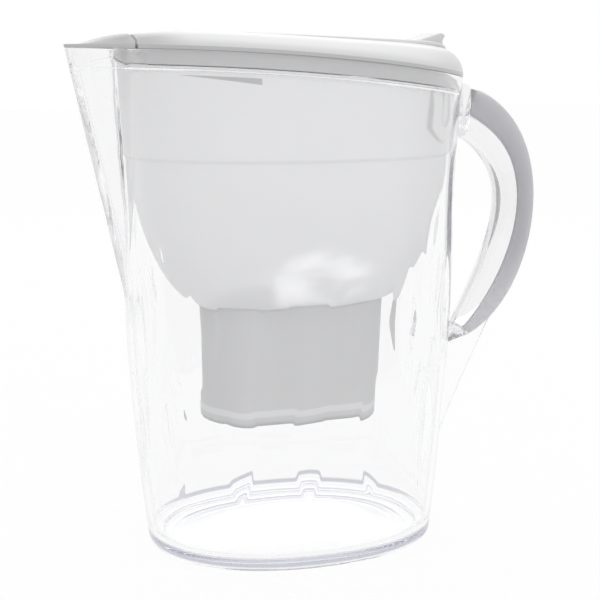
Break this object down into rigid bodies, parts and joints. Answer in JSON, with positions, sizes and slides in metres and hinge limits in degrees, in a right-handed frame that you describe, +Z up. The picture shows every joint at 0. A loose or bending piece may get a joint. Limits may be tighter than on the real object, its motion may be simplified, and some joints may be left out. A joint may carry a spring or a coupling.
{
  "type": "water filter pitcher",
  "caption": "Water filter pitcher: clear oval jug with pouring prow and loop handle, hanging funnel with filter cartridge, domed cover with flip lid and spout flap.",
  "frame": {"origin": "bottom centre of the outer box", "axes": "+X towards the handle, -X towards the spout, +Z up, +Y to the right of someone holding the handle and looking towards the spout"},
  "size_m": [0.2686, 0.1428, 0.2795],
  "materials": {
    "clear_plastic": "clear gloss",
    "milky_plastic": "translucent satin",
    "white_plastic": "satin",
    "grey_plastic": "satin",
    "cartridge_plastic": "satin",
    "seal_rubber": "matte",
    "screen_mesh": "matte",
    "carbon_granules": "matte",
    "board_laminate": "satin",
    "cell_steel": "satin"
  },
  "bodies": {
    "jug": {"jug": "clear_plastic", "handle_strip": "white_plastic"},
    "funnel": {"funnel": "milky_plastic"},
    "cartridge": {"cartridge_housing": "cartridge_plastic", "cartridge_cap": "cartridge_plastic", "cartridge_seal": "seal_rubber", "inlet_screen": "screen_mesh", "granule_bed": "carbon_granules", "outlet_screen": "screen_mesh"},
    "pull_loop": {"pull_loop": "cartridge_plastic"},
    "lid": {"lid_frame": "white_plastic", "flip_hinge_pin": "grey_plastic", "flap_hinge_pin": "grey_plastic"},
    "flip_lid": {"flip_lid": "white_plastic", "reminder_case": "grey_plastic", "reminder_window": "clear_plastic", "reminder_board": "board_laminate", "reminder_cell": "cell_steel"},
    "reminder_button": {"reminder_button": "white_plastic"},
    "spout_flap": {"spout_flap": "white_plastic"}
  },
  "joints": [
    {"name": "funnel_lift", "type": "slide", "parent": "jug", "child": "funnel", "axis": [0, 0, 1], "range_m": [0, 0.21]},
    {"name": "cartridge_lift", "type": "slide", "parent": "funnel", "child": "cartridge", "axis": [0, 0, 1], "range_m": [0, 0.08]},
    {"name": "pull_loop_turn", "type": "hinge", "parent": "cartridge", "child": "pull_loop", "pos_m": [-0.02751, 0, 0.1511], "axis": [0, -1, 0], "range_deg": [0, 90]},
    {"name": "lid_lift", "type": "slide", "parent": "funnel", "child": "lid", "axis": [0, 0, 1], "range_m": [0, 0.09]},
    {"name": "flip_lid_turn", "type": "hinge", "parent": "lid", "child": "flip_lid", "pos_m": [-0.08251, 0, 0.27657], "axis": [0, -1, 0], "range_deg": [0, 88]},
    {"name": "spout_flap_turn", "type": "hinge", "parent": "lid", "child": "spout_flap", "pos_m": [-0.10061, 0, 0.27506], "axis": [0, 1, 0], "range_deg": [0, 28]},
    {"name": "reminder_press", "type": "slide", "parent": "flip_lid", "child": "reminder_button", "axis": [-0.0375, 0, -0.9993], "range_m": [0, 0.0008], "stiffness_N_per_m": 200, "springref_m": -0.0005}
  ]
}
